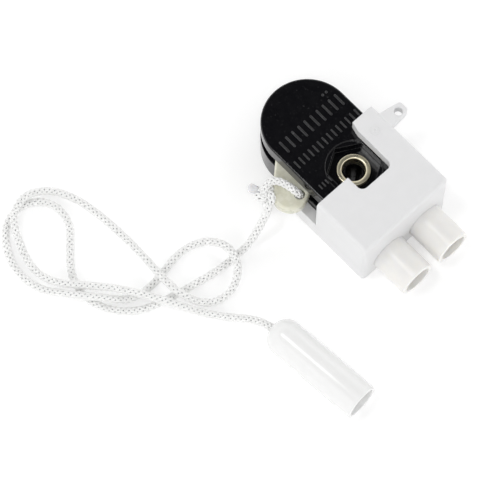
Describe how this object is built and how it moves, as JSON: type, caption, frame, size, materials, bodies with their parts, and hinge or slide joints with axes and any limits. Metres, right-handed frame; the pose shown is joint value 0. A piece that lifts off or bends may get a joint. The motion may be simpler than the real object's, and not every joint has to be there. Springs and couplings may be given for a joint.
{
  "type": "pull cord switch",
  "caption": "Pull cord lamp switch: black round-ended case with a threaded brass nipple, white terminal housing with cable sleeves, braided cord and a bullet handle.",
  "frame": {"origin": "on the threaded nipple's axis, in the plane of the case's flat back", "axes": "+Z away from the back along the nipple; +X along the body toward the cable sleeves; the pull lever is on the -Y side"},
  "size_m": [0.1159, 0.1138, 0.0225],
  "materials": {
    "black_plastic": "glossy moulded black",
    "brass": "bright turned brass",
    "steel": "bright zinc-plated steel",
    "copper": "copper sheet",
    "inner_nylon": "natural nylon",
    "cream_nylon": "satin cream nylon",
    "white_plastic": "satin white moulding",
    "sleeve_plastic": "satin warm white",
    "white_gloss": "glossy white",
    "cord": "braided white synthetic cord",
    "melted_cord": "melted translucent cord end"
  },
  "bodies": {
    "housing": {"lower_case": "black_plastic", "case_lid": "black_plastic", "threaded_nipple": "brass", "pivot_pin": "steel", "return_spring": "steel", "detent_spring": "steel", "contact_strip_near": "brass", "contact_strip_far": "brass", "terminal_block_near": "brass", "terminal_block_far": "brass", "terminal_screws": "steel", "case_screws": "steel", "terminal_base": "white_plastic", "terminal_cover": "white_plastic", "cable_sleeve_near": "sleeve_plastic", "cable_sleeve_far": "sleeve_plastic", "pull_cord": "cord", "pull_handle": "white_gloss", "stopper_knot": "cord"},
    "lever": {"pull_lever": "cream_nylon", "pawl_pin": "steel", "lever_knot": "cord", "cord_end": "melted_cord"},
    "pawl": {"drive_pawl": "steel"},
    "rotor": {"ratchet_rotor": "inner_nylon", "contact_bridge": "copper"}
  },
  "joints": [
    {"name": "lever_pull", "type": "hinge", "parent": "housing", "child": "lever", "pos_m": [-0.0195, 0, 0.0113], "axis": [0, 0, 1], "range_deg": [-38, 0], "stiffness_Nm_per_rad": 0.05, "springref_deg": 20.05},
    {"name": "rotor_index", "type": "hinge", "parent": "housing", "child": "rotor", "pos_m": [-0.0195, 0, 0.006], "axis": [0, 0, 1], "range_deg": [-38, 0]},
    {"name": "pawl_click", "type": "hinge", "parent": "lever", "child": "pawl", "pos_m": [-0.01644, -0.00942, 0.0069], "axis": [0, 0, 1], "range_deg": [-9, 0], "stiffness_Nm_per_rad": 0.002, "springref_deg": 17.19}
  ],
  "couplings": [
    {"joint": "rotor_index", "follows": "lever_pull", "ratio": 1}
  ]
}
